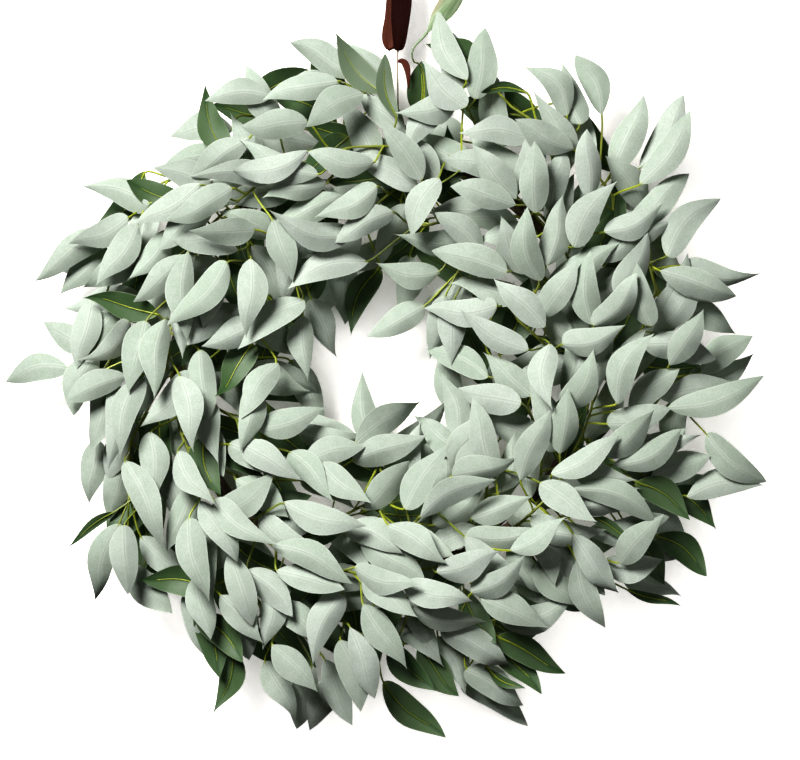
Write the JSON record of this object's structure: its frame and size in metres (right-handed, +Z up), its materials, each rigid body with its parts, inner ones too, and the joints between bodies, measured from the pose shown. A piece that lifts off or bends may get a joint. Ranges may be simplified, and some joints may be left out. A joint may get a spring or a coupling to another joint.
{
  "type": "willow wreath",
  "caption": "Round hanging wreath of imitation willow leaves swept one way round a ring, with a satin ribbon loop.",
  "frame": {"origin": "the hook seat: middle of the flat under the top of the ribbon's loop, where a hook or rod bears", "axes": "+Z up as it hangs, -Y out of the wreath's leafy front towards the viewer, +X to the viewer's right"},
  "size_m": [0.6104, 0.091, 0.6243],
  "materials": {
    "leaf_fabric": "matte woven face, green underside with a raised lime rib",
    "ring_vine": "rough bark",
    "satin_ribbon": "satin",
    "covered_wire": "matte paper cover",
    "pale_leaf": "matte, slightly translucent"
  },
  "bodies": {
    "root": {"base_ring": "ring_vine", "hanger_ribbon": "satin_ribbon", "ribbon_tail": "satin_ribbon", "tie_wire": "covered_wire", "curled_top_leaf": "pale_leaf", "inner_spray_01": "leaf_fabric", "inner_spray_02": "leaf_fabric", "inner_spray_03": "leaf_fabric", "inner_spray_04": "leaf_fabric", "inner_spray_05": "leaf_fabric", "inner_spray_06": "leaf_fabric", "inner_spray_07": "leaf_fabric", "inner_spray_08": "leaf_fabric", "inner_spray_09": "leaf_fabric", "inner_spray_10": "leaf_fabric", "inner_spray_11": "leaf_fabric", "inner_spray_12": "leaf_fabric", "inner_spray_13": "leaf_fabric", "middle_spray_01": "leaf_fabric", "middle_spray_02": "leaf_fabric", "middle_spray_03": "leaf_fabric", "middle_spray_04": "leaf_fabric", "middle_spray_05": "leaf_fabric", "middle_spray_06": "leaf_fabric", "middle_spray_07": "leaf_fabric", "middle_spray_08": "leaf_fabric", "middle_spray_09": "leaf_fabric", "middle_spray_10": "leaf_fabric", "middle_spray_11": "leaf_fabric", "middle_spray_12": "leaf_fabric", "middle_spray_13": "leaf_fabric", "outer_spray_01": "leaf_fabric", "outer_spray_02": "leaf_fabric", "outer_spray_03": "leaf_fabric", "outer_spray_04": "leaf_fabric", "outer_spray_05": "leaf_fabric", "outer_spray_06": "leaf_fabric", "outer_spray_07": "leaf_fabric", "outer_spray_08": "leaf_fabric", "outer_spray_09": "leaf_fabric", "outer_spray_10": "leaf_fabric", "outer_spray_11": "leaf_fabric", "outer_spray_12": "leaf_fabric", "outer_spray_13": "leaf_fabric", "outer_spray_14": "leaf_fabric", "outer_spray_15": "leaf_fabric", "outer_spray_16": "leaf_fabric", "outer_spray_17": "leaf_fabric"}
  },
  "joints": []
}
